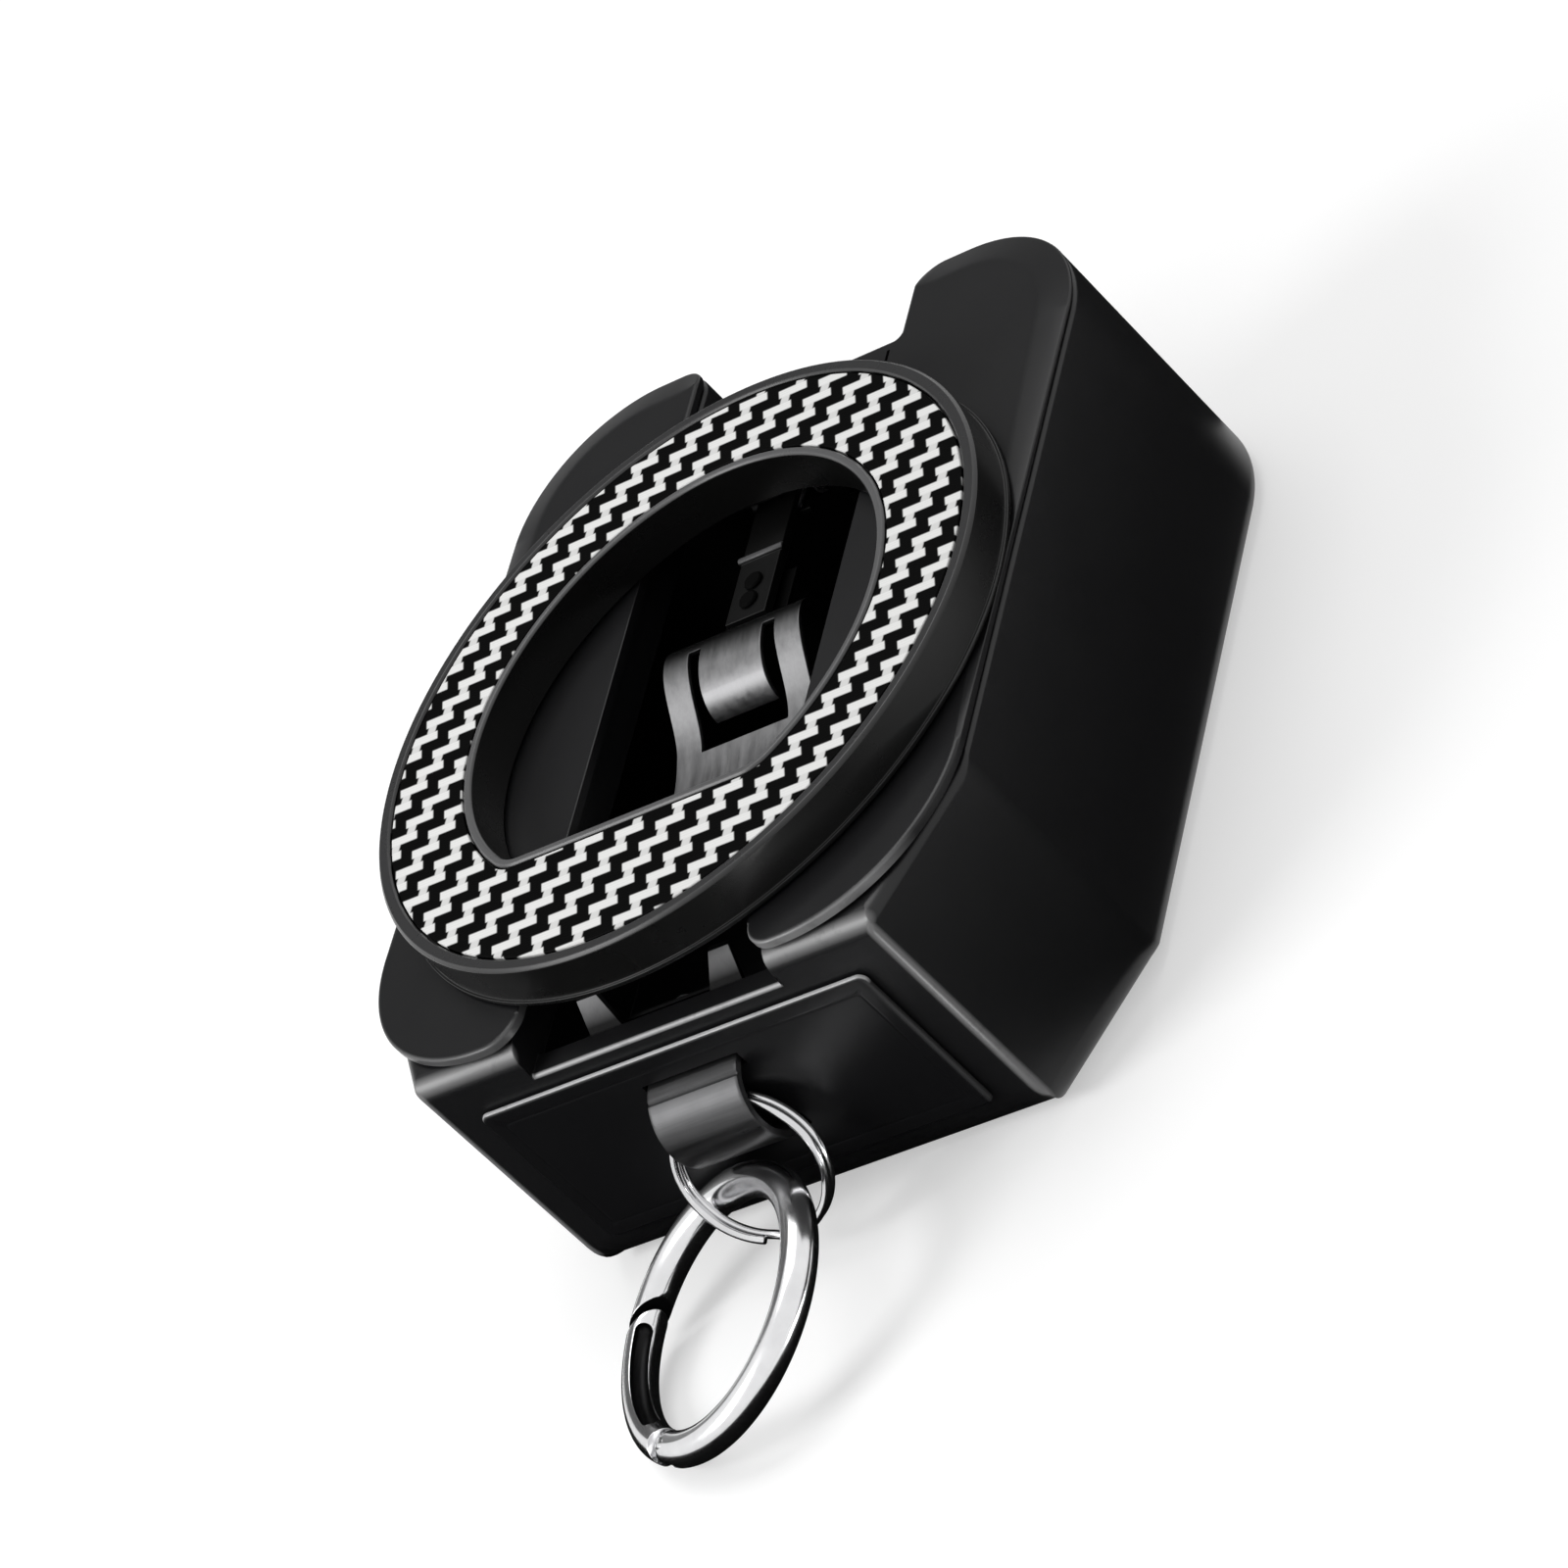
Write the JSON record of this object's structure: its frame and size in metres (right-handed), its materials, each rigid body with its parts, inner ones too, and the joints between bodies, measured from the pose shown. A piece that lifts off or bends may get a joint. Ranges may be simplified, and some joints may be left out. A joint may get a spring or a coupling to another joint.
{
  "type": "key organiser case",
  "caption": "Hard two-lobed pocket case with a ring bezel and window, a sprung steel latch in its slot, and a split ring with a spring-gate ring on its foot.",
  "frame": {"origin": "centre of the case's flat back, halfway along its length and width", "axes": "+X across the case, +Y along it towards its two-lobed head, +Z out of its front through the bezel"},
  "size_m": [0.0682, 0.1116, 0.0348],
  "materials": {
    "shell_black": "fine satin black",
    "plate_black": "satin black enamel",
    "ring_black": "semi-gloss black",
    "weave": "black and white woven laminate",
    "dark_steel": "black oxide steel",
    "brushed": "brushed along the strip",
    "chrome": "polished",
    "screw": "plain steel"
  },
  "bodies": {
    "case": {"backing_plate": "brushed", "base_screw_left": "screw", "base_screw_right": "screw", "bezel_inlay": "weave", "bezel_ring": "ring_black", "bezel_screw_1": "screw", "bezel_screw_2": "screw", "bezel_screw_3": "screw", "bezel_screw_4": "screw", "end_panel": "shell_black", "front_plate": "plate_black", "latch_base": "dark_steel", "latch_pin": "screw", "latch_spring": "screw", "lug_screw_front": "screw", "lug_screw_rear": "screw", "lug_strap": "dark_steel", "rear_shell": "shell_black"},
    "latch": {"latch_arm": "dark_steel", "latch_clip": "brushed", "latch_rivet_front": "dark_steel", "latch_rivet_rear": "dark_steel"},
    "split_ring": {"split_ring": "chrome"},
    "gate_ring": {"gate_ring": "chrome", "gate_pin": "chrome", "gate_plunger": "screw", "gate_spring": "screw"},
    "gate": {"gate": "chrome"}
  },
  "joints": [
    {"name": "latch_flex", "type": "hinge", "parent": "case", "child": "latch", "pos_m": [0, 0.022, 0.0262], "axis": [1, 0, 0], "range_deg": [-6, 6], "stiffness_Nm_per_rad": 0.35},
    {"name": "split_ring_swing", "type": "hinge", "parent": "case", "child": "split_ring", "pos_m": [0.00044, -0.0434, 0.01739], "axis": [1, 0, 0], "range_deg": [-12, 0]},
    {"name": "gate_ring_swing", "type": "hinge", "parent": "split_ring", "child": "gate_ring", "pos_m": [-0.00653, -0.0465, 0.00828], "axis": [-0.3662, 0.3054, 0.879], "range_deg": [-20, 10]},
    {"name": "gate_open", "type": "hinge", "parent": "gate_ring", "child": "gate", "pos_m": [-0.01018, -0.06705, 0.00242], "axis": [0.2676, 0.1705, -0.9483], "range_deg": [0, 45], "stiffness_Nm_per_rad": 0.05}
  ]
}
